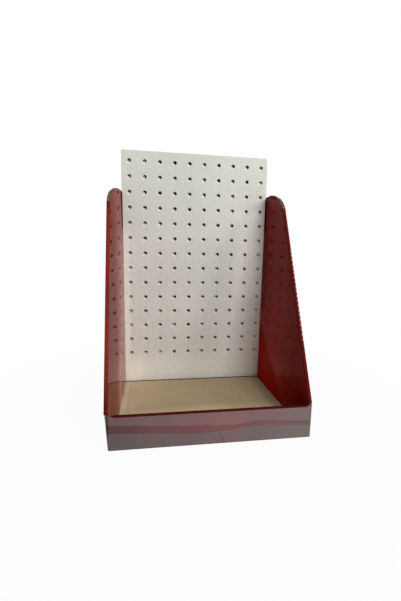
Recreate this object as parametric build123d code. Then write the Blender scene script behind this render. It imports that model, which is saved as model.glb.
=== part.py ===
from build123d import *
import math
import os

os.makedirs("parts", exist_ok=True)

# Corrugated board of the tray
board = 2.3
layer_gap = 0.2
edge_round = 1.8

# Outside of the tray, which is folded from one printed sheet
tray_width = 257.6
front_height = 44.0
side_height = 335.5
corner_round = 3.0
corner_leg = 8.0
roll_notch = 7.0
base_round = 1.2

# Slanted front edge of each side wall, where the board rolls over
roll_lift = 2.0
roll_set_back = 0.8

# Die-cut round above the slanted edge, between the shoulder and the crown
shoulder_drop = 17.0
shoulder_reach = 74.2
shoulder_angle = 20.75
shoulder_round = 54.0
crown_round = 35.0
round_run_in = 0.3
cut_relief = 0.5
rear_top_round = 4.0
cut_overrun = 10.0

# Outward lean of the left wall's free front edge, at both ends of its roll
left_flare_foot = 3.6
left_flare_top = 11.8

# Bay between the front wall and the rear edges of the inner side layers
bay_depth = 199.0
seat_gap = 0.3

# Tabs that lock the rolled-over layers into slots in the floor
tab_length = 26.0
tab_recess = 0.3
slot_gap = 0.3
front_tab_spread = 150.0
side_tab_spread = 96.0

# Peg panel, a white sheet folded over at its top edge
panel_board = 2.3
panel_height = 402.0
panel_side_gap = 0.15
foot_set_back = 3.8
top_set_back = 6.2
panel_corner_round = 2.5

# Peg holes, punched through the panel's front leaf
peg_pitch = 25.4
peg_hole_diameter = 6.1
peg_hole_side_count = 8
peg_row_one_height = 54.7
peg_top_margin = 14.0
peg_side_margin = 10.0
peg_grid_offset = 1.2

# Sizes of the walls and the panel that follow from the ones above
wall_depth = 2 * board + layer_gap
panel_thickness = 2 * panel_board + layer_gap
panel_width = tray_width - 2 * board - 2 * panel_side_gap
peg_rows = 1 + int((panel_height - peg_row_one_height - peg_top_margin) / peg_pitch)
peg_columns = 1 + int((panel_width - 2 * peg_side_margin) / peg_pitch)


def panel_set_back(height):
    """How far the bowed panel's front face lies behind its crown, at a height on the panel."""
    share = 2 * height / panel_height - 1
    bow = (top_set_back + foot_set_back) / 2
    lean = (top_set_back - foot_set_back) / 2
    return bow * share**2 + lean * share


# Depth of the tray, with room for the bowed panel in front of the back wall
wall_top_set_back = panel_set_back(min(side_height - board, panel_height))
panel_room = max(foot_set_back, wall_top_set_back) + panel_thickness + seat_gap
tray_depth = bay_depth + seat_gap + panel_room + board
half_width = tray_width / 2
front_y = -tray_depth / 2
rear_y = tray_depth / 2
rear_leg_y = rear_y - corner_leg
bay_back_y = front_y + bay_depth
inner_front_y = front_y + wall_depth + seat_gap
inner_foot_z = board + layer_gap

# Line of the slanted edge, and where the die-cut round ends it
roll_start = front_height + roll_lift
shoulder_height = side_height - shoulder_drop
slant_run = bay_depth - roll_set_back - shoulder_reach
slant_slope = slant_run / (shoulder_height - roll_start)
slant = math.atan(slant_slope)
climb = math.radians(shoulder_angle)
shoulder_turn = math.pi / 2 - slant - climb
round_run = shoulder_round * math.tan(shoulder_turn / 2) + round_run_in
roll_end = shoulder_height - round_run * math.cos(slant)
round_share = 2 - math.sqrt(2)


def corner_arc(start, corner, end):
    """The middle and end of an arc that rounds the corner between start and end."""
    middle = corner + ((start + end) / 2 - corner) * round_share
    return middle, end


def closed_face(start, *stops):
    """A face bounded by straight runs, and by an arc where a stop is a middle and an end."""
    edges = []
    here = start
    for stop in stops:
        if isinstance(stop, tuple):
            edges.append(ThreePointArc(here, stop[0], stop[1]))
            here = stop[1]
        else:
            edges.append(Line(here, stop))
            here = stop
    edges.append(Line(here, start))
    return Face(Wire(edges))


def nose_y(z):
    """Where the front edge of a side wall lies at a height."""
    return front_y + roll_set_back + max(z - roll_start, 0) * slant_slope


def flare(side, z):
    """How far the front edge of a side wall leans out at a height."""
    if side > 0 or z <= board:
        return 0
    if z <= roll_start:
        return left_flare_foot * (z - board) / (roll_start - board)
    rise = (z - roll_start) / (side_height - roll_start)
    return left_flare_foot + (left_flare_top - left_flare_foot) * rise


def wall_point(side, y, depth, z):
    """A point of a side wall, at a depth inwards from its outer face."""
    lean = flare(side, z) * (rear_leg_y - y) / (rear_leg_y - nose_y(z))
    return Vector(side * (half_width + lean - depth), y, z)


def wall_plate(side, low_z, high_z, near_y, far_y, near_depth, far_depth):
    """A flat stretch of a side wall's board between two heights."""
    faces = []
    for z in (low_z, high_z):
        faces.append(closed_face(
            wall_point(side, near_y, near_depth, z),
            wall_point(side, far_y, near_depth, z),
            wall_point(side, far_y, far_depth, z),
            wall_point(side, near_y, far_depth, z),
        ))
    return loft(faces, ruled=True)


def hairpin(side, z):
    """Plan of a rolled-over side wall: outer layer, rounded nose and inner layer."""
    nose = nose_y(z)

    def at(y, depth):
        return wall_point(side, y, depth, z)

    outer_start = at(nose + edge_round, 0)
    inner_start = at(nose, wall_depth - edge_round)
    return closed_face(
        at(rear_leg_y, 0),
        outer_start,
        corner_arc(outer_start, at(nose, 0), at(nose, edge_round)),
        inner_start,
        corner_arc(inner_start, at(nose, wall_depth), at(nose + edge_round, wall_depth)),
        at(bay_back_y, wall_depth),
        at(bay_back_y, wall_depth - board),
        at(nose + board, wall_depth - board),
        at(nose + board, board),
        at(rear_leg_y, board),
    )


def die_cut():
    """What the die takes away above the slanted edge, as a block through both side walls."""
    reach = half_width + left_flare_top + cut_overrun
    start_y = nose_y(roll_end) + cut_relief / math.cos(slant)
    corner_y = nose_y(shoulder_height) + cut_relief / math.cos(slant)
    crown_y = corner_y + shoulder_drop / math.tan(climb)
    curve = FilletPolyline(
        Vector(0, start_y, roll_end),
        Vector(0, corner_y, shoulder_height),
        Vector(0, crown_y, side_height),
        Vector(0, bay_back_y, side_height),
        radius=(shoulder_round, crown_round),
    )
    outside = Polyline(
        curve @ 1,
        Vector(0, bay_back_y, side_height + cut_overrun),
        Vector(0, front_y, side_height + cut_overrun),
        Vector(0, front_y, roll_end),
        curve @ 0,
    )
    face = Face(Wire(curve.edges() + outside.edges()))
    return extrude(face, amount=reach, dir=(1, 0, 0), both=True)


def rear_top_cut(side):
    """What rounds off the rear top corner of an inner side layer."""
    block = wall_plate(
        side,
        side_height - rear_top_round,
        side_height + cut_overrun,
        bay_back_y - rear_top_round,
        bay_back_y + layer_gap,
        board + layer_gap / 2,
        wall_depth + cut_overrun,
    )
    place = Location((0, bay_back_y - rear_top_round, side_height - rear_top_round), (0, 90, 0))
    return block - place * Cylinder(rear_top_round, 2 * (tray_width + cut_overrun))


def side_wall(side):
    """Outer layer, slanted roll and inner layer of one side wall."""
    wall = loft([hairpin(side, roll_start), hairpin(side, side_height)], ruled=True)
    wall -= die_cut()
    wall -= rear_top_cut(side)
    wall += wall_plate(side, board, roll_start, front_y + corner_leg, rear_leg_y, 0, board)
    wall += wall_plate(
        side, inner_foot_z, roll_start, inner_front_y, bay_back_y, wall_depth - board, wall_depth
    )
    return wall


def corner_section(side, z):
    """Plan of a front corner, whose round grows with the lean of the wall."""
    turn = corner_round + flare(side, z)
    corner = wall_point(side, front_y, 0, z)
    arc_start = Vector(side * (half_width - corner_round), front_y, z)
    arc_end = wall_point(side, front_y + turn, 0, z)
    return closed_face(
        Vector(side * (half_width - roll_notch), front_y, z),
        arc_start,
        corner_arc(arc_start, corner, arc_end),
        wall_point(side, front_y + corner_leg, 0, z),
        wall_point(side, front_y + corner_leg, board, z),
        wall_point(side, front_y + board, board, z),
        Vector(side * (half_width - roll_notch), front_y + board, z),
    )


def front_corner(side):
    """The folded corner between the front wall and a side wall."""
    return loft([corner_section(side, board), corner_section(side, front_height)], ruled=True)


def rear_corner(side):
    """The folded corner between a side wall and the back wall."""
    arc_start = Vector(side * half_width, rear_y - corner_round, board)
    arc_end = Vector(side * (half_width - corner_round), rear_y, board)
    section = closed_face(
        Vector(side * half_width, rear_leg_y, board),
        arc_start,
        corner_arc(arc_start, Vector(side * half_width, rear_y, board), arc_end),
        Vector(side * (half_width - corner_leg), rear_y, board),
        Vector(side * (half_width - corner_leg), rear_y - board, board),
        Vector(side * (half_width - board), rear_y - board, board),
        Vector(side * (half_width - board), rear_leg_y, board),
    )
    return extrude(section, amount=side_height - board, dir=(0, 0, 1))


def front_wall():
    """Outer layer of the front wall, rolled over into its inner layer."""
    outer_start = Vector(0, front_y, front_height - edge_round)
    inner_start = Vector(0, front_y + wall_depth - edge_round, front_height)
    section = closed_face(
        Vector(0, front_y, board),
        outer_start,
        corner_arc(
            outer_start,
            Vector(0, front_y, front_height),
            Vector(0, front_y + edge_round, front_height),
        ),
        inner_start,
        corner_arc(
            inner_start,
            Vector(0, front_y + wall_depth, front_height),
            Vector(0, front_y + wall_depth, front_height - edge_round),
        ),
        Vector(0, front_y + wall_depth, inner_foot_z),
        Vector(0, front_y + wall_depth - board, inner_foot_z),
        Vector(0, front_y + wall_depth - board, front_height - board),
        Vector(0, front_y + board, front_height - board),
        Vector(0, front_y + board, board),
    )
    return extrude(section, amount=half_width - roll_notch, dir=(1, 0, 0), both=True)


def plain_box(low, high):
    """A box between its lowest and highest corners."""
    size = high - low
    return Pos((low + high) / 2) * Box(size.X, size.Y, size.Z)


def base_plate():
    """The floor and the folded foot of every wall, as one board with a rounded rim."""
    outline = RectangleRounded(tray_width, tray_depth, corner_round)
    plate = extrude(outline, amount=board)
    return fillet(plate.edges().group_by(Axis.Z)[0], base_round)


def back_wall():
    """The flat part of the back wall, between the folded corners."""
    return plain_box(
        Vector(corner_leg - half_width, rear_y - board, board),
        Vector(half_width - corner_leg, rear_y, side_height),
    )


def front_tab(x, low_z, high_z, near, far, half_length):
    """A block below the inner front layer, between two depths from the front face."""
    return plain_box(
        Vector(x - half_length, front_y + near, low_z),
        Vector(x + half_length, front_y + far, high_z),
    )


def lock_tabs(low_z, high_z, near, far, half_length):
    """Blocks for the tabs of the inner layers, or for their slots, by height, depth and length."""
    middle_y = (inner_front_y + bay_back_y) / 2
    blocks = []
    for sign in (-1, 1):
        x = sign * front_tab_spread / 2
        y = middle_y + sign * side_tab_spread / 2
        blocks.append(front_tab(x, low_z, high_z, near, far, half_length))
        for side in (-1, 1):
            ends = (y - half_length, y + half_length)
            blocks.append(wall_plate(side, low_z, high_z, *ends, near, far))
    return blocks


def tray():
    """The printed sheet, cut, folded, rolled over and locked, as one solid."""
    slot_reach = wall_depth + slot_gap
    slot_half_length = tab_length / 2 + slot_gap
    shell = base_plate() - lock_tabs(-cut_overrun, board, board, slot_reach, slot_half_length)
    shell += back_wall() + front_wall()
    for side in (-1, 1):
        shell += front_corner(side)
        shell += rear_corner(side)
        shell += side_wall(side)
    tab_depth = wall_depth - board
    return shell + lock_tabs(tab_recess, inner_foot_z, tab_depth, wall_depth, tab_length / 2)


def panel_breaks(low, high):
    """Heights on the panel, one flat band to each row of holes, between two heights."""
    first = peg_row_one_height - peg_pitch / 2
    between = [first + row * peg_pitch for row in range(peg_rows + 1)]
    return [low] + [height for height in between if low < height < high] + [high]


def leaf_slab(near, far, low, high):
    """A bowed board across the panel's width, between two depths and two heights."""
    points = []
    for height in panel_breaks(low, high):
        y = bay_back_y + seat_gap + panel_set_back(height)
        points.append(Vector(0, y, board + height))
    front = [point + Vector(0, near, 0) for point in points]
    rear = [point + Vector(0, far, 0) for point in reversed(points)]
    return extrude(closed_face(*front, *rear), amount=panel_width / 2, dir=(1, 0, 0), both=True)


def peg_holes():
    """The punched holes, as eight-sided rods through the front leaf."""
    face_y = bay_back_y + seat_gap
    rods = []
    for column in range(peg_columns):
        x = peg_grid_offset + (column - (peg_columns - 1) / 2) * peg_pitch
        for row in range(peg_rows):
            z = board + peg_row_one_height + row * peg_pitch
            hole = RegularPolygon(peg_hole_diameter / 2, peg_hole_side_count)
            rod = extrude(hole, amount=top_set_back + panel_thickness, both=True)
            rods.append(Location((x, face_y, z), (90, 0, 0)) * rod)
    return rods


def corner_cut():
    """What the worn round takes off the panel's right top corner."""
    x = panel_width / 2 - panel_corner_round
    z = board + panel_height - panel_corner_round
    block = plain_box(
        Vector(x, front_y, z),
        Vector(x + panel_width, rear_y + cut_overrun, z + panel_width),
    )
    rod = Cylinder(panel_corner_round, 2 * tray_depth)
    return block - Location((x, bay_back_y, z), (90, 0, 0)) * rod


def peg_panel():
    """The white sheet, folded over at its top, with the punched front leaf."""
    fold_height = panel_height - 2 * panel_thickness
    front_leaf = leaf_slab(0, panel_board, 0, fold_height) - peg_holes()
    rear_leaf = leaf_slab(panel_board + layer_gap, panel_thickness, 0, fold_height)
    cap = leaf_slab(0, panel_thickness, fold_height, panel_height)
    cap -= leaf_slab(panel_board, panel_board + layer_gap, fold_height, panel_height - panel_board)
    cap = fillet(cap.edges().filter_by(Axis.X).group_by(Axis.Z)[-1], edge_round)
    return front_leaf + rear_leaf + cap - corner_cut()


pieces = {"folded_tray": tray(), "peg_panel": peg_panel()}
for name, piece in pieces.items():
    piece.label = name
    export_step(piece, "parts/" + name + ".step")
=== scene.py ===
import bpy
import math
from mathutils import Matrix, Vector


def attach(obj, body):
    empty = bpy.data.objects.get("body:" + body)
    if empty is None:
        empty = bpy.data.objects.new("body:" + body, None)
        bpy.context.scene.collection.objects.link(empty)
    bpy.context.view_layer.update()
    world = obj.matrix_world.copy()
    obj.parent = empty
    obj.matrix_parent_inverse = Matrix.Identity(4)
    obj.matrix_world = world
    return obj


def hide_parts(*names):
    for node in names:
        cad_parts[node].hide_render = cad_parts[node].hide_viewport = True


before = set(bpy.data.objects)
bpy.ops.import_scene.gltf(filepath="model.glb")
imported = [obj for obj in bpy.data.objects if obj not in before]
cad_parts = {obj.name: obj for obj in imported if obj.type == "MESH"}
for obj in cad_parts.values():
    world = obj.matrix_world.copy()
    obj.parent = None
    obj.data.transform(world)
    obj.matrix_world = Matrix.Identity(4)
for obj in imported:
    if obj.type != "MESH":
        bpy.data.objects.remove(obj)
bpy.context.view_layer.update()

# Folded tray
# One die-cut sheet of B-flute board, litho print under a gloss film outside, bare brown liner
# inside. The side and front walls roll over at their top edges, so the film shows inside the bay.

tray_half_width = 0.1288
tray_front = -0.10525
tray_rear = 0.10525
board = 0.0023
wall_depth = 0.0048
front_zone = tray_front + wall_depth + 0.002
front_height = 0.044
front_corner = 0.1255
side_height = 0.3355
roll_start = 0.046
roll_end = 0.298
roll_set_back = 0.0008
roll_width = 0.0021
roll_notch = 0.007
inner_depth = 0.0042
fold_depth = 0.004
fold_zone = 0.0019
edge_zone = 0.0015
skin = 0.001
slant_slope = 0.45505
rear_leg = 0.09725
flare_foot = 0.0036
flare_top = 0.0118
flute_pitch = 0.0063
layer_pitch = 0.0025
layer_stretch = 1.087
ALONG_X, ALONG_Z = 0, 2

film_red = (0.21, 0.014, 0.008)
# the right wall's copy of the film red is darker, as painted shade
shaded_film_red = (0.17, 0.005, 0.003)
print_red = (0.085, 0.012, 0.01)
reflected_panel_pink = (0.6, 0.22, 0.18)
painted_lit_red = (0.33, 0.005, 0.0015)
hardly_glossy = 1.06


def nose_line(z):
    """Where the slanted front edge of a side wall stands at a height."""
    return tray_front + roll_set_back + max(z - roll_start, 0) * slant_slope


def outer_face(side, y, z):
    """Distance of a side wall's outer face from the middle plane; the left wall leans out."""
    if side > 0 or z <= board:
        return tray_half_width
    if z <= roll_start:
        lean = flare_foot * (z - board) / (roll_start - board)
    else:
        lean = flare_foot + (flare_top - flare_foot) * (z - roll_start) / (side_height - roll_start)
    return tray_half_width + lean * (rear_leg - y) / (rear_leg - nose_line(z))


def feed(tree, socket, value):
    """Link a socket to the value's node, or set it directly where it is the same all over."""
    if isinstance(value, bpy.types.NodeSocket):
        tree.links.new(value, socket)
    else:
        socket.default_value = (*value, 1) if socket.type == "RGBA" else value


def new_material(name, colour, roughness, specular=0.5):
    material = bpy.data.materials.new(name)
    material.use_nodes = True
    tree = material.node_tree
    shader = tree.nodes["Principled BSDF"]
    feed(tree, shader.inputs["Base Color"], colour)
    feed(tree, shader.inputs["Roughness"], roughness)
    feed(tree, shader.inputs["Specular IOR Level"], specular)
    return material, tree, shader


def add_node(tree, kind, settings=None, **inputs):
    """A node with its settings; inputs go by name, or by number as i0, i1 and so on."""
    node = tree.nodes.new(kind)
    for key, value in (settings or {}).items():
        setattr(node, key, value)
    for key, value in inputs.items():
        numbered = key[0] == "i" and key[1:].isdigit()
        feed(tree, node.inputs[int(key[1:]) if numbered else key], value)
    return node


def math_node(tree, operation, a, b=0.0, c=0.0):
    node = add_node(tree, "ShaderNodeMath", {"operation": operation}, i0=a, i1=b, i2=c)
    return node.outputs[0]


def times(tree, a, b):
    return math_node(tree, "MULTIPLY", a, b)


def plus(tree, a, b):
    return math_node(tree, "ADD", a, b)


def minus(tree, a, b):
    return math_node(tree, "SUBTRACT", a, b)


def larger(tree, a, b):
    return math_node(tree, "MAXIMUM", a, b)


def positive(tree, a):
    return math_node(tree, "ABSOLUTE", a)


def vector_node(tree, operation, a, b=(0.0, 0.0, 0.0)):
    return add_node(tree, "ShaderNodeVectorMath", {"operation": operation}, i0=a, i1=b).outputs


def place(tree):
    return add_node(tree, "ShaderNodeNewGeometry").outputs["Position"]


def axes(tree):
    """The place on the object as x, y and z."""
    return add_node(tree, "ShaderNodeSeparateXYZ", Vector=place(tree)).outputs


def noise(tree, scale, detail=3.0, where=None, rough=0.55):
    return add_node(
        tree, "ShaderNodeTexNoise",
        Vector=where or place(tree), Scale=scale, Detail=detail, Roughness=rough
    ).outputs["Fac"]


def ramp(tree, value, *stops, smooth=False):
    """A ramp of grey; each stop is a position and a level."""
    node = add_node(tree, "ShaderNodeValToRGB", Fac=value)
    elements = node.color_ramp.elements
    while len(elements) < len(stops):
        elements.new(0.5)
    for element, (position, level) in zip(elements, stops):
        element.position = position
        element.color = (level, level, level, 1)
    if smooth:
        node.color_ramp.interpolation = "EASE"
    return node.outputs["Color"]


def profile(tree, value, *stops):
    """A soft curve: each stop is a value of the input and the result there."""
    results = [result for _, result in stops]
    low, high = min(results), max(results)
    first, last = stops[0][0], stops[-1][0]
    share = add_node(tree, "ShaderNodeMapRange", Value=value, i1=first, i2=last).outputs[0]
    places = [
        ((stop - first) / (last - first), (result - low) / (high - low)) for stop, result in stops
    ]
    curve = ramp(tree, share, *places, smooth=True)
    return add_node(tree, "ShaderNodeMapRange", Value=curve, i3=low, i4=high).outputs[0]


def mix(tree, share, a, b, blend="MIX"):
    settings = {"data_type": "RGBA", "blend_type": blend}
    return add_node(tree, "ShaderNodeMix", settings, i0=share, i6=a, i7=b).outputs[2]


def shaded(colour, share):
    return tuple(part * share for part in colour)


def bump(tree, shader, height, depth):
    """Height in the range 0 to 1, lifted by a real depth in metres."""
    node = add_node(tree, "ShaderNodeBump", Height=height, Distance=depth, Strength=1.0)
    tree.links.new(node.outputs["Normal"], shader.inputs["Normal"])
    return node


def flute_wave(tree, along, swing):
    """A sine at the flutes' pitch, around one half."""
    turn = times(tree, along, 2 * math.pi / flute_pitch)
    return math_node(tree, "MULTIPLY_ADD", math_node(tree, "SINE", turn), swing, 0.5)


def washboard(tree, axis):
    """The flutes' ridges telegraphing through the film, along one axis, from 0 to 1."""
    return flute_wave(tree, axes(tree)[axis], 0.5)


def ripples(tree, shader, axis, ridge, sway):
    """Relief of the film: the flutes' ridges and a slow sway, both in millimetres."""
    wave = times(tree, washboard(tree, axis), ridge)
    slow = times(tree, noise(tree, 9.0, 1.0), sway)
    return bump(tree, shader, plus(tree, wave, slow), depth=0.001)


def leaning(tree, back, up):
    """The surface direction, leaned back and up by small slopes."""
    lean = add_node(tree, "ShaderNodeCombineXYZ", Y=back, Z=up).outputs[0]
    straight = add_node(tree, "ShaderNodeNewGeometry").outputs["Normal"]
    total = vector_node(tree, "ADD", straight, lean)[0]
    return vector_node(tree, "NORMALIZE", total)[0]


def film_material(
    name, colour, axis, ior, roughness, ridge, sway, lean=None, painted_shade=None, painted_light=None
):
    """Litho print under a film: mottled colour, ridges of the flutes and a slow sway.

    The gloss is one figure, or a function that draws it from the place on the sheet. Lean,
    painted shade and painted light are such functions too; painted light gives a share and the
    colour that it paints in.
    """
    no_gloss = 1.01
    darker, lighter, rubbed_and_shaded = 0.88, 1.1, 0.3
    material, tree, shader = new_material(name, colour, roughness)
    mottle = ramp(tree, noise(tree, 35.0), (0.3, 0.0), (0.7, 1.0))
    shade = mix(tree, mottle, shaded(colour, darker), shaded(colour, lighter))
    # painted light is mixed into the colour here; on the left wall it is a painted reflection
    if painted_light is not None:
        extent, painted_colour = painted_light(tree)
        shade = mix(tree, extent, shade, painted_colour)
    gloss = ior(tree) if callable(ior) else ior
    # painted shade darkens the colour and dulls the gloss
    if painted_shade is not None:
        worn_and_shaded = painted_shade(tree)
        shade = mix(tree, worn_and_shaded, shade, shaded(colour, rubbed_and_shaded))
        keep = minus(tree, 1.0, worn_and_shaded)
        gloss = math_node(tree, "MULTIPLY_ADD", minus(tree, gloss, no_gloss), keep, no_gloss)
    tree.links.new(shade, shader.inputs["Base Color"])
    feed(tree, shader.inputs["IOR"], gloss)
    relief = ripples(tree, shader, axis, ridge, sway)
    if lean is not None:
        tree.links.new(leaning(tree, *lean(tree)), relief.inputs["Normal"])
    return material


def left_lean(tree):
    _, y, z = axes(tree)
    back = profile(
        tree, y,
        (-0.105, -0.03), (-0.04, -0.05), (0.0, -0.08), (0.03, -0.085), (0.06, -0.05), (0.094, -0.03)
    )
    return back, profile(tree, z, (0.04, 0.01), (0.1, 0.05), (0.3, 0.05), (0.335, 0.02))


def right_lean(tree):
    """The right wall's lean; below a line that rises to the rear, the sheet has sprung inwards."""
    _, y, z = axes(tree)
    back = profile(
        tree, y, (-0.105, -0.015), (-0.03, -0.012), (0.004, 0.02), (0.055, 0.084), (0.094, 0.13)
    )
    line_slope, line_height, sprung_slope = 0.937, 0.026, -0.3
    below = minus(tree, math_node(tree, "MULTIPLY_ADD", y, line_slope, line_height), z)
    sprung = times(tree, profile(tree, below, (-0.002, 0.0), (0.002, 1.0)), sprung_slope)
    up = profile(tree, z, (0.03, 0.02), (0.09, 0.07), (0.17, 0.035), (0.335, 0.03))
    return plus(tree, back, sprung), up


def left_gloss(tree):
    _, y, z = axes(tree)
    rear = profile(tree, y, (-0.1, 1.11), (-0.03, 1.11), (0.0, 1.135), (0.05, 1.2), (0.09, 1.2))
    low = profile(tree, z, (0.09, 0.14), (0.2, 0.09), (0.3, 0.0))
    return plus(tree, rear, times(tree, low, profile(tree, y, (-0.06, 0.4), (0.02, 1.0))))


def left_painted_reflection(tree):
    """A painted reflection of the panel: a milky streak that rises to the rear, finely combed
    along the flutes.
    """
    _, y, z = axes(tree)
    ridge_line = profile(tree, z, (0.03, 0.015), (0.1, 0.05), (0.27, 0.065))
    streak = profile(tree, minus(tree, y, ridge_line), (-0.05, 0.0), (0.0, 1.0), (0.045, 0.3))
    height = profile(tree, z, (0.03, 0.9), (0.09, 1.0), (0.2, 0.5), (0.3, 0.25))
    stretch = vector_node(tree, "MULTIPLY", place(tree), (1.0, 1.0, 0.08))[0]
    comb = ramp(tree, noise(tree, 120.0, where=stretch), (0.3, 0.55), (0.7, 1.0))
    return times(tree, times(tree, streak, height), comb), reflected_panel_pink


def right_gloss(tree):
    _, y, z = axes(tree)
    height = profile(
        tree, z, (0.04, 1.07), (0.06, 1.12), (0.16, 1.125), (0.22, 1.105), (0.3, 1.1)
    )
    rear = times(
        tree,
        profile(tree, y, (-0.01, 0.0), (0.03, 0.022), (0.05, 0.038), (0.07, 0.05)),
        profile(tree, z, (0.09, 0.1), (0.15, 1.0))
    )
    foot = times(
        tree,
        profile(tree, z, (0.045, 0.055), (0.078, 0.0)),
        profile(tree, y, (-0.03, 0.0), (0.0, 1.0))
    )
    front = times(
        tree,
        profile(tree, z, (0.06, 0.035), (0.075, 0.0)),
        profile(tree, y, (-0.07, 1.0), (-0.05, 0.0))
    )
    return minus(tree, minus(tree, plus(tree, height, foot), rear), front)


def right_painted_light(tree):
    # painted light: a brighter, deeper red low down towards the rear of the right wall
    _, y, z = axes(tree)
    rear = profile(tree, y, (-0.07, 0.0), (0.03, 1.0))
    low = profile(tree, z, (0.05, 1.0), (0.11, 0.5), (0.22, 0.02))
    return times(tree, rear, low), painted_lit_red


def rear_gap_shade(tree):
    """Painted shadow in the gap between the crown of a side wall and the panel."""
    _, y, z = axes(tree)
    rear = profile(tree, y, (0.082, 0.0), (0.086, 1.0))
    top = profile(tree, z, (0.258, 0.0), (0.285, 1.0))
    return times(tree, rear, top)


def right_rear_shade(tree):
    """On the right wall, painted shade on the rear strip by the panel all the way up."""
    _, y, z = axes(tree)
    strip = times(
        tree,
        profile(tree, y, (0.062, 0.0), (0.078, 0.4)),
        profile(tree, z, (0.1, 0.0), (0.16, 1.0))
    )
    return larger(tree, rear_gap_shade(tree), strip)


left_film = film_material(
    "red film, left inner face", film_red, ALONG_Z, left_gloss, roughness=0.05,
    ridge=0.006, sway=0.1, lean=left_lean, painted_shade=rear_gap_shade, painted_light=left_painted_reflection
)
right_film = film_material(
    "red film, right inner face", shaded_film_red, ALONG_Z, right_gloss, roughness=0.02,
    ridge=0.004, sway=0.05, lean=right_lean, painted_shade=right_rear_shade, painted_light=right_painted_light
)
plain_film = {"ior": 1.9, "roughness": 0.14, "ridge": 0.02, "sway": 0.3}
side_film = film_material("red film, outer sides", print_red, ALONG_Z, **plain_film)
back_film = film_material("red film, back", print_red, ALONG_X, **plain_film)

# the front face mirrors the table: a dim band and duller streaks; painted shade darkens and dulls
# its bottom and left edges, and a dent runs low across it
front_film, tree, shader = new_material("red film, front face", print_red, 0.12)
front_dark, front_warm = (0.03, 0.012, 0.012), (0.145, 0.014, 0.012)
front_worn_and_shaded = (0.03, 0.008, 0.008)
raggedness = 0.003
dent_across, dent_up, dent_start = 0.918, 0.397, -0.01275
band_loss, worn_and_shaded_loss, streak_swing = 0.27, 0.4, 0.16
x, _, z = axes(tree)
ragged = times(tree, minus(tree, noise(tree, 60.0), 0.5), raggedness)
level = plus(tree, z, ragged)
middle_height = profile(
    tree, x, (-0.13, 0.0271), (-0.011, 0.0212), (0.02, 0.0208), (0.06, 0.0246), (0.13, 0.0205)
)
half_band = profile(tree, x, (-0.13, 0.0051), (-0.01, 0.0051), (0.03, 0.0031), (0.13, 0.0033))
away = positive(tree, minus(tree, level, middle_height))
band = profile(tree, minus(tree, half_band, away), (-0.0008, 0.0), (0.0008, 1.0))
middle = profile(tree, x, (-0.13, 0.3), (-0.06, 0.65), (0.02, 1.0), (0.07, 0.7), (0.13, 0.35))
upper = profile(tree, minus(tree, level, middle_height), (-0.006, 0.4), (-0.003, 1.0))
cloud = ramp(tree, noise(tree, 28.0), (0.3, 0.8), (0.7, 1.0))
share = times(tree, times(tree, middle, upper), cloud)
# painted shade along the bottom edge and the left edge
foot_edge_shade = profile(tree, z, (0.0006, 1.0), (0.002, 0.0))
left_edge_shade = times(
    tree,
    profile(tree, x, (-0.1277, 1.0), (-0.1265, 0.0)),
    profile(tree, z, (0.0, 0.5), (0.034, 1.0))
)
dent = math_node(tree, "MULTIPLY_ADD", x, dent_across, dent_start)
dent = positive(tree, plus(tree, dent, times(tree, z, dent_up)))
dent = times(
    tree,
    profile(tree, dent, (0.0002, 1.0), (0.0008, 0.0)),
    profile(tree, z, (0.015, 0.8), (0.0175, 0.0))
)
worn_and_shaded = larger(tree, larger(tree, foot_edge_shade, left_edge_shade), dent)
shade = mix(tree, share, front_dark, front_warm)
tree.links.new(mix(tree, worn_and_shaded, shade, front_worn_and_shaded), shader.inputs["Base Color"])
gloss = profile(tree, x, (-0.13, 1.78), (-0.05, 1.92), (0.04, 2.02), (0.13, 2.15))
gloss = minus(tree, gloss, times(tree, band, band_loss))
gloss = minus(tree, gloss, times(tree, worn_and_shaded, worn_and_shaded_loss))
streak = times(tree, noise(tree, 45.0, 4.0), streak_swing)
gloss = plus(tree, gloss, minus(tree, streak, streak_swing / 2))
tree.links.new(gloss, shader.inputs["IOR"])
ripples(tree, shader, ALONG_X, ridge=0.02, sway=0.3)

# the rolled edges: rubbed through at the ridges, with painted shade that darkens them towards the
# inside, and on the right all along
roll_film, tree, shader = new_material("red film, rolled edges", film_red, 0.4)
shader.inputs["IOR"].default_value = hardly_glossy
roll_shade_black, roll_red = (0.0, 0.0, 0.0), (0.25, 0.022, 0.014)
rubbed_left, rubbed_right = (0.3, 0.1, 0.05), (0.5, 0.32, 0.3)
x, _, z = axes(tree)
depth = add_node(tree, "ShaderNodeAttribute", {"attribute_name": "across"}).outputs["Fac"]
dash = times(tree, washboard(tree, ALONG_Z), noise(tree, 300.0, 4.0))
left_span = profile(tree, z, (0.11, 0.0), (0.13, 1.0), (0.2, 1.0), (0.22, 0.0))
right_span = profile(tree, z, (0.1, 0.0), (0.13, 1.0), (0.23, 1.0), (0.27, 0.0))
on_right = profile(tree, x, (-0.01, 0.0), (0.01, 1.0))
left_rim = times(tree, profile(tree, depth, (0.001, 1.0), (0.0016, 0.0)), left_span)
right_rim = times(tree, profile(tree, depth, (0.002, 1.0), (0.0028, 0.0)), right_span)
rim = mix(tree, on_right, left_rim, right_rim)
scuff = profile(tree, times(tree, dash, rim), (0.3, 0.0), (0.42, 1.0))
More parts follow.
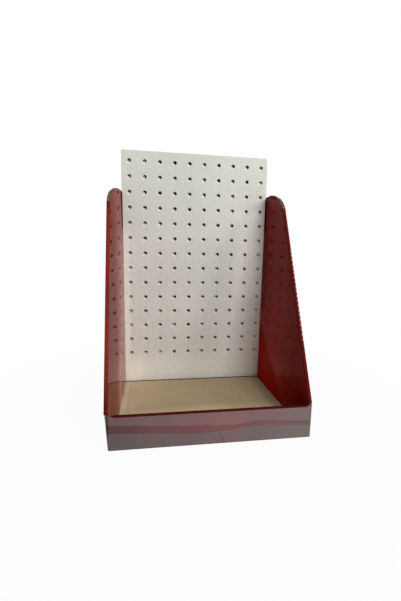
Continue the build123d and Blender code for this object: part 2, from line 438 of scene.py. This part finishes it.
# painted shade over the rolls: by height and towards the inside on the left, all along on the right
left_roll_shade = profile(
    tree, z, (0.05, 0.4), (0.085, 0.8), (0.13, 1.0), (0.18, 0.75), (0.22, 0.9), (0.3, 0.9)
)
left_roll_shade = times(tree, left_roll_shade, profile(tree, depth, (0.0006, 0.4), (0.0018, 1.0)))
right_roll_shade = profile(tree, depth, (0.0012, 0.62), (0.0026, 0.38))
painted_shade_share = mix(tree, on_right, left_roll_shade, right_roll_shade)
shade = mix(tree, painted_shade_share, roll_shade_black, roll_red)
rubbed_and_shaded = mix(tree, on_right, rubbed_left, rubbed_right)
tree.links.new(mix(tree, scuff, shade, rubbed_and_shaded), shader.inputs["Base Color"])
bump(tree, shader, dash, depth=0.0001)

# the front wall's fold: its red is darkened as painted shade in the crease
fold_film, tree, shader = new_material("red film, front fold in painted shade", (0.075, 0.006, 0.004), 0.5)
shader.inputs["IOR"].default_value = hardly_glossy
fold_shade_dark, fold_shade_red = (0.04, 0.003, 0.002), (0.09, 0.008, 0.005)
crease = noise(tree, 140.0, 4.0)
tree.links.new(mix(tree, crease, fold_shade_dark, fold_shade_red), shader.inputs["Base Color"])
bump(tree, shader, crease, depth=0.0001)

# bare brown paper: painted light makes it lighter at the front and left, pale lines run along the
# left wall, painted shade darkens it by the right wall, and a painted shadow lies in the rear joint
liner, tree, shader = new_material("brown liner", (0.42, 0.33, 0.2), 0.85, 0.15)
pulp_dark, pulp_light = (0.44, 0.355, 0.212), (0.535, 0.44, 0.28)
pulp_painted_light, pulp_pale_lines = (0.72, 0.585, 0.38), (0.74, 0.63, 0.45)
pulp_shadow, pulp_joint_shadow = (0.2, 0.155, 0.09), (0.06, 0.045, 0.03)
fibre = noise(tree, 420.0, 6.0, rough=0.7)
cloud = noise(tree, 22.0)
pulp = mix(tree, ramp(tree, fibre, (0.35, 0.0), (0.65, 1.0)), pulp_dark, pulp_light)
shade = mix(
    tree, ramp(tree, cloud, (0.3, 0.0), (0.7, 1.0)), (0.92, 0.92, 0.92), (1.0, 1.0, 1.0)
)
x, y, _ = axes(tree)
# painted light towards the left and the front
lift = larger(
    tree,
    profile(tree, x, (-0.12, 0.45), (-0.03, 0.0)),
    profile(tree, y, (-0.024, 0.8), (0.0, 0.0))
)
pulp = mix(tree, lift, pulp, pulp_painted_light)
# pale lines along the left wall
left_pale_lines = profile(
    tree, x,
    (-0.1245, 0.3), (-0.1225, 0.6), (-0.1205, 0.1), (-0.1185, 1.0), (-0.1165, 0.2), (-0.115, 0.0)
)
pulp = mix(tree, left_pale_lines, pulp, pulp_pale_lines)
pulp = mix(tree, profile(tree, x, (0.1, 0.0), (0.124, 0.5)), pulp, pulp_shadow)
# painted shadow in the joint at the panel's foot
joint_shadow = profile(tree, y, (0.0935, 0.0), (0.0965, 1.0), (0.1, 1.0), (0.1005, 0.0))
pulp = mix(tree, joint_shadow, pulp, pulp_joint_shadow)
tree.links.new(mix(tree, 1.0, pulp, shade, "MULTIPLY"), shader.inputs["Base Color"])
relief = plus(tree, fibre, times(tree, washboard(tree, ALONG_X), 0.3))
bump(tree, shader, relief, depth=0.00006)

# the cut edges: two boards of liner, flute and liner, painted dark as shade in the gaps between
# the papers, with a red wrap near the crown
cut_edge, tree, shader = new_material("raw cut edge", (0.2, 0.15, 0.09), 0.95, 0.1)
cut_gap_shade, cut_dark, cut_light = (0.06, 0.045, 0.03), (0.16, 0.12, 0.07), (0.36, 0.29, 0.19)
cut_foot, cut_corner, cut_wrap = (0.62, 0.52, 0.36), (0.07, 0.006, 0.004), (0.15, 0.008, 0.004)
across = add_node(tree, "ShaderNodeAttribute", {"attribute_name": "across"}).outputs["Fac"]
along = add_node(tree, "ShaderNodeAttribute", {"attribute_name": "along"}).outputs["Fac"]
layers = math_node(tree, "DIVIDE", across, layer_pitch)
level = times(tree, math_node(tree, "FRACT", layers), layer_stretch)
off_flute = positive(tree, minus(tree, level, flute_wave(tree, along, 0.33)))
off_middle = positive(tree, minus(tree, level, 0.5))
paper = larger(
    tree,
    profile(tree, off_flute, (0.07, 1.0), (0.12, 0.0)),
    profile(tree, off_middle, (0.36, 0.0), (0.42, 1.0))
)
fibre = noise(tree, 900.0, 5.0)
x, _, z = axes(tree)
pulp = mix(tree, fibre, cut_dark, cut_light)
pulp = mix(tree, profile(tree, z, (0.048, 0.8), (0.055, 0.0)), pulp, cut_foot)
raw = mix(tree, paper, cut_gap_shade, pulp)
wrapped = profile(tree, z, (0.285, 0.0), (0.286, 1.0), (0.3065, 1.0), (0.3075, 0.0))
corner = times(
    tree,
    profile(tree, positive(tree, x), (0.1246, 1.0), (0.1252, 0.0)),
    profile(tree, z, (0.046, 1.0), (0.05, 0.0))
)
raw = mix(tree, corner, raw, cut_corner)
tree.links.new(mix(tree, wrapped, raw, cut_wrap), shader.inputs["Base Color"])
bump(tree, shader, plus(tree, paper, times(tree, fibre, 0.4)), depth=0.0003)

SIDE, BACK, FRONT, INNER_LEFT, INNER_RIGHT, ROLL, FOLD, LINER, CUT = range(9)
HAIR = 0.0001
SQUARE, MOSTLY, PARTLY, HALFWAY = 0.9, 0.7, 0.6, 0.5


def floor_finish(x, y, normal):
    if normal.z > SQUARE:
        return LINER
    inside = abs(x) < tray_half_width - edge_zone and abs(y) < tray_rear - edge_zone
    if inside and normal.z > -SQUARE:
        return CUT
    if abs(normal.y) <= abs(normal.x):
        return SIDE
    return FRONT if y < 0 else BACK


def side_finish(side, y, z, depth, normal):
    """A side wall, or the back wall's ends."""
    inwards = -side * normal.x
    if y > rear_leg + HAIR or depth > wall_depth + skin:
        if normal.z > MOSTLY:
            return CUT
        if normal.y < -HALFWAY or inwards > HALFWAY:
            return LINER
        return BACK if normal.y > MOSTLY else SIDE
    if z > roll_end - edge_zone and abs(normal.x) < PARTLY:
        return CUT
    if normal.z < -SQUARE or normal.y > PARTLY:
        return CUT
    on_roll = y < nose_line(z) + roll_width and roll_start < z < roll_end + skin
    if on_roll and depth < wall_depth + HAIR:
        return ROLL
    if inwards > HALFWAY:
        if depth <= inner_depth:
            return LINER
        return INNER_RIGHT if side > 0 else INNER_LEFT
    if depth > skin:
        return CUT if normal.y < -SQUARE else LINER
    return SIDE


def front_finish(side, x, y, z, depth, normal):
    """The front wall and its corners."""
    inwards = -side * normal.x
    if abs(x) > tray_half_width - roll_notch - HAIR:
        if normal.z > MOSTLY and abs(x) < front_corner:
            return FOLD
        at_notch = abs(abs(x) - tray_half_width + roll_notch) < HAIR
        if normal.z > MOSTLY or (abs(normal.x) > SQUARE and at_notch):
            return CUT
        if inwards > HALFWAY and depth > skin or normal.y > HALFWAY:
            return LINER
        return FRONT if normal.y < -MOSTLY else SIDE
    if normal.z < -SQUARE:
        return CUT
    if z > front_height - fold_zone:
        return FOLD if normal.z > -HALFWAY else LINER
    if normal.y > HALFWAY:
        return FOLD if y > tray_front + fold_depth else LINER
    return FRONT if y < tray_front + skin else LINER


def tray_finish(centre, normal):
    """Which finish a face of the tray has, from where it lies and which way it faces."""
    x, y, z = centre
    side = 1 if x > 0 else -1
    depth = outer_face(side, y, z) - abs(x)
    if z < board + HAIR:
        return floor_finish(x, y, normal)
    if depth < wall_depth + HAIR and y > front_zone or z > roll_start - HAIR:
        return side_finish(side, y, z, depth, normal)
    if y < front_zone:
        return front_finish(side, x, y, z, depth, normal)
    if y > rear_leg:
        if normal.z > MOSTLY:
            return CUT
        return BACK if normal.y > 0 else LINER
    return SIDE


def new_object(name, data):
    made = bpy.data.objects.new(name, data)
    bpy.context.scene.collection.objects.link(made)
    return made


tray_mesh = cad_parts["folded_tray"].data.copy()
tray_mesh.name = "printed_sheet"
tray_mesh.materials.clear()
for material in (
    side_film, back_film, front_film, left_film, right_film, roll_film, fold_film, liner, cut_edge
):
    tray_mesh.materials.append(material)
across = tray_mesh.attributes.new("across", "FLOAT", "CORNER")
along = tray_mesh.attributes.new("along", "FLOAT", "CORNER")
for face in tray_mesh.polygons:
    face.material_index = tray_finish(face.center, face.normal)
    for corner in face.loop_indices:
        x, y, z = tray_mesh.vertices[tray_mesh.loops[corner].vertex_index].co
        if face.center.y > rear_leg:
            inset, run = tray_rear - y, x
        elif face.center.y < front_zone and face.center.z < roll_start:
            inset, run = y - tray_front, x
        else:
            inset, run = outer_face(1 if x > 0 else -1, y, z) - abs(x), z
        across.data[corner].value, along.data[corner].value = inset, run
tray = new_object("printed_sheet", tray_mesh)
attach(tray, "root")
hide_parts("folded_tray")

# Peg panel
# One white-lined sheet folded over at its top edge, with round peg holes punched through the
# front leaf only. It stands loose between the side walls and leans back a little at its top.

panel_half = 0.12635
panel_front = 0.09405
panel_foot = 0.0023
panel_height = 0.402
panel_leaf = 0.0023
panel_depth = 0.0048
panel_bow = 0.005
panel_tilt = 0.0012
panel_round = 0.0018
corner_round = 0.0025
rows, columns = 14, 10
peg_pitch = 0.0254
peg_radius = 0.00305
peg_sides = 32
cell_steps = 8
well_depth = 0.0042
first_row = 0.0547
grid_middle = 0.0012
first_column = grid_middle - (columns - 1) / 2 * peg_pitch
row_lines = [first_row + (row - 0.5) * peg_pitch for row in range(rows)]
fold_line, grid_top = 0.3924, 0.3976
levels = [0, *row_lines, fold_line, grid_top, panel_height]
arc = range(0, 91, 15)


def set_back(height):
    """How far the panel stands back at a height above its foot, in flat bands."""
    along = (2 * level / panel_height - 1 for level in levels)
    curve = [panel_bow * s * s + panel_tilt * s for s in along]
    for low, high, near, far in zip(levels, levels[1:], curve, curve[1:]):
        if height <= high:
            return near + (far - near) * (height - low) / (high - low)
    return curve[-1]


panel_points, panel_faces, panel_finish, known = [], [], [], {}
WHITE, WELL, RAW, HOLE = range(4)


def panel_point(x, depth, height):
    key = (round(x, 6), round(depth, 6), round(height, 6))
    if key not in known:
        known[key] = len(panel_points)
        panel_points.append((x, panel_front + set_back(height) + depth, panel_foot + height))
    return known[key]


def panel_face(face, finish):
    panel_faces.append(face)
    panel_finish.append(finish)


def panel_strip(first, second, finish, closed=False):
    """Faces between two rows of points."""
    pairs = list(zip(first, second))
    for (a, d), (b, c) in zip(pairs, pairs[1:] + pairs[:1] if closed else pairs[1:]):
        face = [panel_point(*point) for point in (a, b, c, d)]
        if len(set(face)) == 4:
            panel_face(face, finish)


# rings of a hole from its soft rim inwards: how much wider, how deep, and the finish before it
hole_rings = (
    (0.0011, 0, WHITE),
    (0.0006, 0, WHITE),
    (0.0003, 0.00005, WHITE),
    (0.0001, 0.0002, WHITE),
    (0, 0.0005, WHITE),
    (0, panel_leaf, HOLE),
    (0, well_depth, HOLE),
    (-0.0008, well_depth + 0.0002, WELL),
)


def hole_ring(x, height, radius, depth):
    turns = [2 * math.pi * (step + 4) / peg_sides for step in range(peg_sides)]
    return [
        (x + radius * math.cos(turn), depth, height + radius * math.sin(turn)) for turn in turns
    ]


cell_lines = []
for column in range(columns):
    x = first_column + column * peg_pitch
    left = -panel_half if column == 0 else first_column + (column - 0.5) * peg_pitch
    right = panel_half if column == columns - 1 else first_column + (column + 0.5) * peg_pitch
    cell_lines += [left + (right - left) * step / cell_steps for step in range(cell_steps)]
    for row in range(rows):
        height = first_row + row * peg_pitch
        low, high = height - peg_pitch / 2, height + peg_pitch / 2
        corners = [(right, high), (left, high), (left, low), (right, low), (right, high)]
        rim = [
            (a + (c - a) * step / cell_steps, 0, b + (d - b) * step / cell_steps)
            for (a, b), (c, d) in zip(corners, corners[1:])
            for step in range(cell_steps)
        ]
        for grow, depth, finish in hole_rings:
            ring = hole_ring(x, height, peg_radius + grow, depth)
            panel_strip(rim, ring, finish, closed=True)
            rim = ring
        panel_face([panel_point(*point) for point in rim], WELL)
cell_lines.append(panel_half)
corner_lines = [
    panel_half - corner_round * (1 - math.sin(math.radians(turn))) for turn in arc[:-1]
]
top_lines = sorted(cell_lines + corner_lines)


def panel_row(lines, depth, height):
    return [(x, depth, height) for x in lines]


def top_height(x):
    reach = max(x - panel_half + corner_round, 0)
    return panel_height - corner_round + math.sqrt(corner_round**2 - reach**2)


def top_row(turn, rear):
    """A row of points over the folded top edge, at a turn of its front or rear rounding."""
    lift, inset = math.sin(math.radians(turn)), math.cos(math.radians(turn))
    depth = panel_round * (1 - inset)
    depth = panel_depth - depth if rear else depth
    return [(x, depth, top_height(x) - panel_round * (1 - lift)) for x in top_lines]


foot_rows = [
    (0.0009, 0), (0.0003, 0.0003), (0, 0.0009), (0, 0.014), (0, 0.028),
    (0, first_row - peg_pitch / 2)
]
for (near, low), (far, high) in zip(foot_rows, foot_rows[1:]):
    panel_strip(panel_row(cell_lines, near, low), panel_row(cell_lines, far, high), WHITE)
top_rows = [panel_row(top_lines, 0, grid_top)] + [top_row(turn, False) for turn in arc]
top_rows += [top_row(turn, True) for turn in reversed(arc)]
for first, second in zip(top_rows, top_rows[1:]):
    panel_strip(first, second, WHITE)
for low, high in zip(levels[-2::-1], levels[-1::-1]):
    top = [(x, panel_depth, min(high, top_height(x) - panel_round)) for x in top_lines]
    panel_strip(top, panel_row(top_lines, panel_depth, low), WHITE)
foot_front = foot_rows[0][0]
panel_strip(
    panel_row(cell_lines, panel_depth, 0), panel_row(cell_lines, foot_front, 0), RAW
)

# the side edges, with a narrow groove between the two leaves
side_heights = [foot for _, foot in foot_rows[2:]]
side_heights += [
    first_row + (row - 0.5 + step / cell_steps) * peg_pitch
    for row in range(rows)
    for step in range(1, cell_steps + 1)
]
groove_depth, groove_end = 0.0008, 0.0025
groove = [
    (0, 0), (panel_leaf, 0), (panel_leaf, groove_depth), (groove_end, groove_depth),
    (groove_end, 0), (panel_depth, 0)
]
for side in (-1, 1):
    end = side * panel_half
    for (near, sunk), (far, deep) in zip(groove, groove[1:]):
        first = [(end - side * sunk, near, height) for height in side_heights]
        second = [(end - side * deep, far, height) for height in side_heights]
        panel_strip(*((first, second) if side < 0 else (second, first)), RAW)
    cap = [panel_point(*(row[0] if side < 0 else row[-1])) for row in top_rows]
    panel_face(cap if side > 0 else cap[::-1], RAW)

panel_mesh = bpy.data.meshes.new("punched_board")
panel_mesh.from_pydata(panel_points, [], panel_faces)
panel_mesh.update()
across = panel_mesh.attributes.new("across", "FLOAT", "POINT")
along = panel_mesh.attributes.new("along", "FLOAT", "POINT")
for point, inset, run in zip(panel_points, across.data, along.data):
    inset.value = point[1] - panel_front - set_back(point[2] - panel_foot)
    run.value = point[0]


def from_hole(tree, where, start, drift):
    """How far a place lies from the middle of its hole, along one axis."""
    turns = math_node(tree, "DIVIDE", minus(tree, where, start), peg_pitch)
    rest = minus(tree, math_node(tree, "FRACT", plus(tree, turns, 0.5)), 0.5)
    return plus(tree, times(tree, rest, peg_pitch), drift)


def from_hole_middle(tree, x, z, aside, drop):
    """Distance from a point that lies aside and below the middle of each hole."""
    offset = add_node(
        tree, "ShaderNodeCombineXYZ",
        X=from_hole(tree, x, first_column, aside),
        Y=from_hole(tree, z, panel_foot + first_row, drop)
    ).outputs[0]
    return vector_node(tree, "LENGTH", offset)["Value"]


# white paper: mottled, with painted light where the film shines on it at the left and the foot,
# painted shade left of the middle and along the top, painted light at the right, a painted red
# bounce low by the right wall and a painted highlight on the lower left rim of each hole
white_face, tree, shader = new_material("white board face", (0.7, 0.7, 0.645), 0.75, 0.25)
paper_dark, paper_light = (0.66, 0.658, 0.6), (0.72, 0.72, 0.665)
paper_film_bounce, paper_foot_bounce, paper_red_bounce = (0.95, 0.885, 0.82), (0.88, 0.84, 0.76), (0.7, 0.55, 0.48)
paper_shade, paper_top_shade = (0.58, 0.565, 0.52), (0.62, 0.625, 0.57)
paper_painted_light, paper_rim_highlight = (0.86, 0.85, 0.79), (0.97, 0.96, 0.9)
cloud_tint, full_tint, speck_tint = (0.95, 0.945, 0.935), (1.0, 1.0, 1.0), (0.86, 0.86, 0.86)
brightness = 1.06
speck = noise(tree, 260.0, 5.0, rough=0.75)
cloud = noise(tree, 14.0)
mottle = ramp(tree, speck, (0.32, 0.0), (0.68, 1.0))
paper = mix(tree, mottle, paper_dark, paper_light)
tint = mix(tree, ramp(tree, cloud, (0.3, 0.0), (0.7, 1.0)), cloud_tint, full_tint)
x, _, z = axes(tree)
# painted light from the film at the left margin and the lower left
left_film_bounce = times(
    tree,
    profile(tree, x, (-0.119, 1.0), (-0.109, 0.0)),
    profile(
        tree, z,
        (0.1, 0.85), (0.15, 0.7), (0.18, 0.45), (0.25, 0.45), (0.272, 0.75), (0.3, 0.2), (0.32, 0.0)
    )
)
foot_film_bounce = times(
    tree,
    profile(tree, x, (-0.11, 1.0), (-0.075, 0.0)),
    profile(tree, z, (0.03, 0.85), (0.065, 0.0))
)
paper = mix(tree, larger(tree, left_film_bounce, foot_film_bounce), paper, paper_film_bounce)
# painted light at the foot
low = profile(tree, z, (0.03, 0.32), (0.09, 0.0))
paper = mix(tree, low, paper, paper_foot_bounce)
# painted shade over the middle and left of the panel
painted_shade_share = times(
    tree,
    profile(tree, x, (-0.105, 0.3), (-0.09, 0.5), (-0.06, 1.0), (0.03, 1.0), (0.065, 0.0)),
    profile(tree, z, (0.03, 0.0), (0.07, 0.5), (0.15, 0.35), (0.18, 0.6), (0.25, 0.6), (0.275, 0.0))
)
paper = mix(tree, painted_shade_share, paper, paper_shade)
# painted light at the right of the panel
painted_right_light = times(
    tree,
    profile(tree, x, (0.06, 0.0), (0.085, 0.7), (0.115, 1.0)),
    profile(tree, z, (0.14, 0.0), (0.17, 0.6), (0.25, 1.0), (0.3, 1.0), (0.32, 0.0))
)
paper = mix(tree, painted_right_light, paper, paper_painted_light)
# painted shade along the top of the panel
high = times(
    tree,
    profile(tree, z, (0.24, 0.0), (0.29, 1.0)),
    profile(tree, x, (-0.12, 0.9), (-0.1, 0.9), (-0.02, 1.0), (0.07, 0.15))
)
paper = mix(tree, high, paper, paper_top_shade)
# painted highlight on the lower left rim of each hole
off_rim = from_hole_middle(tree, x, z, 0.0018, 0.0024)
rim_highlight = times(
    tree,
    profile(tree, off_rim, (0.0018, 0.45), (0.0036, 0.0)),
    profile(tree, z, (0.042, 0.0), (0.045, 1.0))
)
paper = mix(tree, rim_highlight, paper, paper_rim_highlight)
# painted red bounce light low by the right wall
right_red_bounce = times(
    tree,
    profile(tree, z, (0.1, 1.0), (0.17, 0.0)),
    profile(tree, x, (0.108, 0.0), (0.124, 0.5))
)
paper = mix(tree, right_red_bounce, paper, paper_red_bounce)
tint = mix(tree, mottle, speck_tint, tint)
paper = mix(tree, 1.0, paper, tint, "MULTIPLY")
paper = mix(tree, 1.0, paper, (brightness, brightness, brightness), "MULTIPLY")
tree.links.new(paper, shader.inputs["Base Color"])
relief = plus(tree, speck, times(tree, washboard(tree, ALONG_X), 0.3))
bump(tree, shader, relief, depth=0.00008)


def right_shade_holes(tree):
    """The last column, from half its height down, where the holes' painted shadow is made paler."""
    x, _, z = axes(tree)
    return times(
        tree,
        profile(tree, x, (0.085, 0.0), (0.11, 1.0)),
        profile(tree, z, (0.25, 1.0), (0.3, 0.0))
    )


def outer_holes(tree):
    """The columns towards both edges, where the holes' painted shadow is made paler, most on the
    right.
    """
    return profile(
        tree, axes(tree)[0],
        (-0.115, 0.4), (-0.1, 0.0), (0.0, 0.0), (0.03, 0.07), (0.05, 0.1), (0.07, 0.2), (0.1, 0.25),
        (0.112, 0.65)
    )


# the rear leaf behind a hole: bare paper in its lower left part; the rest is painted black as the
# rim's shadow, with a painted highlight just under the upper rim and painted shade at the left side
well_face, tree, shader = new_material("rear leaf behind a hole", (0.8, 0.79, 0.73), 0.9, 0.1)
bare_dark, bare_light = (0.72, 0.71, 0.645), (0.83, 0.82, 0.76)
pit_shadow_black, pit_outer, pit_shadow_paler = (0.012, 0.01, 0.008), (0.45, 0.41, 0.36), (0.5, 0.45, 0.39)
pit_lit = (0.82, 0.8, 0.73)
uneven = 0.0037
grain = noise(tree, 500.0, 4.0)
x, _, z = axes(tree)
aside = profile(tree, x, (0.0, 0.0018), (0.06, 0.0011))
drop = profile(tree, z, (0.05, 0.0037), (0.23, 0.0032), (0.38, 0.0021))
uneven_x = times(tree, minus(tree, noise(tree, 55.0, 0.0), 0.58), uneven)
uneven_z = times(tree, minus(tree, noise(tree, 71.0, 0.0), 0.57), uneven)
bare = from_hole_middle(tree, x, z, plus(tree, aside, uneven_x), plus(tree, drop, uneven_z))
bare = plus(tree, bare, times(tree, noise(tree, 60.0, 1.0), 0.0016))
bare = minus(tree, bare, profile(tree, x, (0.0, 0.0005), (0.06, 0.0)))
bare = profile(tree, bare, (0.0024, 1.0), (0.0031, 0.0))
pit_shadow = mix(tree, outer_holes(tree), pit_shadow_black, pit_outer)
pit_shadow = mix(tree, right_shade_holes(tree), pit_shadow, pit_shadow_paler)
# painted highlight just under the upper rim
reached = profile(tree, z, (0.06, -0.001), (0.15, -0.0015), (0.25, -0.0021), (0.39, -0.003))
under_rim_light = from_hole(tree, z, panel_foot + first_row, reached)
under_rim_light = profile(tree, under_rim_light, (-0.0008, 0.0), (0.0, 1.0))
under_rim_light = times(tree, under_rim_light, profile(tree, z, (0.26, 1.0), (0.36, 0.3)))
pit_shadow = mix(tree, under_rim_light, pit_shadow, pit_lit)
inner = mix(tree, bare, pit_shadow, mix(tree, grain, bare_dark, bare_light))
# painted shade along the left side of each well
left_pit_shade = profile(tree, from_hole(tree, x, first_column, 0.0), (-0.0018, 1.0), (-0.001, 0.0))
left_pit_shade = times(
    tree, left_pit_shade, profile(tree, x, (0.0, 0.0), (0.04, 1.0), (0.095, 1.0), (0.11, 0.5))
)
tree.links.new(mix(tree, left_pit_shade, inner, pit_shadow_black), shader.inputs["Base Color"])
bump(tree, shader, grain, depth=0.0001)

# the punched wall of a hole: painted dark as shade, with a painted highlight on the upward-facing
# lip at its lower side
hole_wall, tree, shader = new_material("punched wall of a hole", (0.05, 0.04, 0.03), 0.95, 0.05)
wall_shade_dark, wall_shade_light = (0.01, 0.008, 0.006), (0.04, 0.033, 0.025)
wall_shade_outer, wall_shade_paler, lip_highlight = (0.3, 0.27, 0.235), (0.6, 0.55, 0.48), (0.55, 0.53, 0.47)
grain = noise(tree, 700.0, 4.0)
facing = add_node(tree, "ShaderNodeNewGeometry").outputs["Normal"]
sideways, _, upward = add_node(tree, "ShaderNodeSeparateXYZ", Vector=facing).outputs
lit_lip = times(
    tree,
    profile(tree, upward, (0.2, 0.0), (0.7, 1.0)),
    profile(tree, sideways, (0.0, 1.0), (0.3, 0.0))
)
paler_in_shade = times(tree, right_shade_holes(tree), profile(tree, sideways, (0.0, 1.0), (0.2, 0.0)))
wall_shade = mix(tree, grain, wall_shade_dark, wall_shade_light)
wall_shade = mix(tree, outer_holes(tree), wall_shade, wall_shade_outer)
wall_shade = mix(tree, paler_in_shade, wall_shade, wall_shade_paler)
tree.links.new(mix(tree, lit_lip, wall_shade, lip_highlight), shader.inputs["Base Color"])
bump(tree, shader, grain, depth=0.0002)

for material in (white_face, well_face, cut_edge, hole_wall):
    panel_mesh.materials.append(material)
for face, finish in zip(panel_mesh.polygons, panel_finish):
    face.material_index = finish
panel_mesh.shade_smooth()
panel_mesh.set_sharp_from_angle(angle=math.radians(35))
panel = new_object("punched_board", panel_mesh)
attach(panel, "root")
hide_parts("peg_panel")

# Studio
# A pale floor that turns white with distance, a white surround that is seen but gives little
# light, two soft lamps and the photograph's camera.

reach, floor_gap = 6.0, 0.0002
corners = [(-reach, -reach, 0), (reach, -reach, 0), (reach, reach, 0), (-reach, reach, 0)]
floor_mesh = bpy.data.meshes.new("studio_floor")
floor_mesh.from_pydata(corners, [], [(0, 1, 2, 3)])
floor = new_object("studio_floor", floor_mesh)
floor.location.z = -floor_gap


def seen_directly(tree):
    """Whether a ray comes from the camera itself, a mirror image or through something clear."""
    path = add_node(tree, "ShaderNodeLightPath").outputs
    seen = larger(tree, path["Is Camera Ray"], path["Is Glossy Ray"])
    return larger(tree, seen, path["Is Transmission Ray"])


def blend_shaders(tree, share, first, second, output):
    blend = add_node(tree, "ShaderNodeMixShader", Fac=share)
    tree.links.new(first.outputs[0], blend.inputs[1])
    tree.links.new(second.outputs[0], blend.inputs[2])
    tree.links.new(blend.outputs[0], tree.nodes[output].inputs["Surface"])


white = (1, 1, 1)
pale, tree, shader = new_material("pale floor", (0.8, 0.8, 0.8), 0.9, 0.0)
floor_mesh.materials.append(pale)
glow = add_node(tree, "ShaderNodeEmission", Color=white, Strength=1.0)
far_off = profile(tree, vector_node(tree, "LENGTH", place(tree))["Value"], (0.2, 0.955), (0.5, 1.0))
share = times(tree, seen_directly(tree), far_off)
blend_shaders(tree, share, shader, glow, "Material Output")

world = bpy.data.worlds.new("studio")
bpy.context.scene.world = world
world.use_nodes = True
tree = world.node_tree
sky = tree.nodes["Background"]
feed(tree, sky.inputs["Color"], (1.0, 1.0, 0.98))
feed(tree, sky.inputs["Strength"], 0.35)
surround = add_node(tree, "ShaderNodeBackground", Color=white, Strength=1.0)
blend_shaders(tree, seen_directly(tree), sky, surround, "World Output")

lamp_distance = 4.0
lamp_target = Vector((0, 0, 0.2))


def soft_lamp(name, azimuth, elevation, size, power):
    """A square soft lamp aimed at the object, from an azimuth right of the front."""
    light = bpy.data.lights.new(name, "AREA")
    light.size = size
    light.energy = power
    lamp = new_object(name, light)
    a, e = math.radians(azimuth), math.radians(elevation)
    way = Vector((math.sin(a) * math.cos(e), -math.cos(a) * math.cos(e), math.sin(e)))
    lamp.location = lamp_target + way * lamp_distance
    lamp.rotation_euler = way.to_track_quat("Z", "Y").to_euler()


soft_lamp("front softbox", azimuth=12, elevation=28, size=1.6, power=80)
soft_lamp("right softbox", azimuth=45, elevation=26, size=0.8, power=30)

camera_place = (-0.07335, -0.45403, 0.23245)
camera_turn, camera_down, camera_roll = -0.1471, 0.1442, 0.0176
lens = bpy.data.cameras.new("camera")
lens.lens = 18.509
lens.shift_x = 0.00223
lens.shift_y = -0.00023
lens.clip_start, lens.clip_end = 0.01, 30
camera = new_object("camera", lens)
camera.matrix_world = (
    Matrix.Translation(camera_place)
    @ Matrix.Rotation(camera_turn, 4, "Z")
    @ Matrix.Rotation(math.pi / 2 - camera_down, 4, "X")
    @ Matrix.Rotation(camera_roll, 4, "Z")
)
bpy.context.scene.camera = camera
bpy.context.scene.view_settings.view_transform = "Standard"
